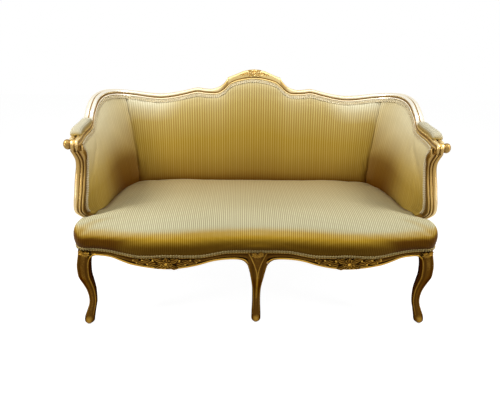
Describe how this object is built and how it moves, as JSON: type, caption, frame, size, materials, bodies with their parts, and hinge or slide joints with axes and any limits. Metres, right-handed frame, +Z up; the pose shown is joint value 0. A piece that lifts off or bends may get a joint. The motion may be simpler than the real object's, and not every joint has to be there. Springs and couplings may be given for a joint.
{
  "type": "giltwood settee",
  "caption": "Carved giltwood settee with a crested back turning into wings and arms, a tight serpentine seat in striped satin and short cabriole legs.",
  "frame": {"origin": "on the floor under the middle of the settee's overall box", "axes": "+X along the seat to the right as seen from the front, +Y towards the back, +Z up"},
  "size_m": [1.4594, 0.7912, 0.935],
  "materials": {
    "gilt": "carved wood, gesso and rubbed gold leaf",
    "stripe_cloth": "striped satin in sage, cream and old gold",
    "braid": "pale gold scalloped gimp",
    "beech": "sawn and stained frame timber",
    "jute": "plain woven jute",
    "cambric": "thin black cotton",
    "steel": "plain steel"
  },
  "bodies": {
    "root": {"back_gimp": "braid", "back_hessian": "jute", "back_pad": "stripe_cloth", "crest_carving": "gilt", "crest_rail": "gilt", "dust_cover": "cambric", "front_centre_glide": "steel", "front_centre_leg": "gilt", "front_left_glide": "steel", "front_left_leg": "gilt", "front_right_glide": "steel", "front_right_leg": "gilt", "left_apron_carving": "gilt", "left_arm_pad": "stripe_cloth", "left_arm_rail": "gilt", "left_arm_stay_rail": "beech", "left_arm_support": "gilt", "left_back_stay_rail": "beech", "left_front_brace": "beech", "left_front_brace_screw": "steel", "left_front_rail": "gilt", "left_outside_cover": "stripe_cloth", "left_rear_brace": "beech", "left_rear_brace_screw": "steel", "left_rear_rail": "beech", "left_side_rail": "beech", "left_wing_gimp": "braid", "left_wing_hessian": "jute", "left_wing_pad": "stripe_cloth", "left_wing_rail": "gilt", "outside_back_cover": "stripe_cloth", "rear_centre_glide": "steel", "rear_centre_leg": "beech", "rear_left_glide": "steel", "rear_left_leg": "beech", "rear_right_glide": "steel", "rear_right_leg": "beech", "right_apron_carving": "gilt", "right_arm_pad": "stripe_cloth", "right_arm_rail": "gilt", "right_arm_stay_rail": "beech", "right_arm_support": "gilt", "right_back_stay_rail": "beech", "right_front_brace": "beech", "right_front_brace_screw": "steel", "right_front_rail": "gilt", "right_outside_cover": "stripe_cloth", "right_rear_brace": "beech", "right_rear_brace_screw": "steel", "right_rear_rail": "beech", "right_side_rail": "beech", "right_wing_gimp": "braid", "right_wing_hessian": "jute", "right_wing_pad": "stripe_cloth", "right_wing_rail": "gilt", "seat_gimp": "braid", "seat_hessian": "jute", "seat_pad": "stripe_cloth", "seat_stretcher": "beech", "seat_webbing": "jute"}
  },
  "joints": []
}
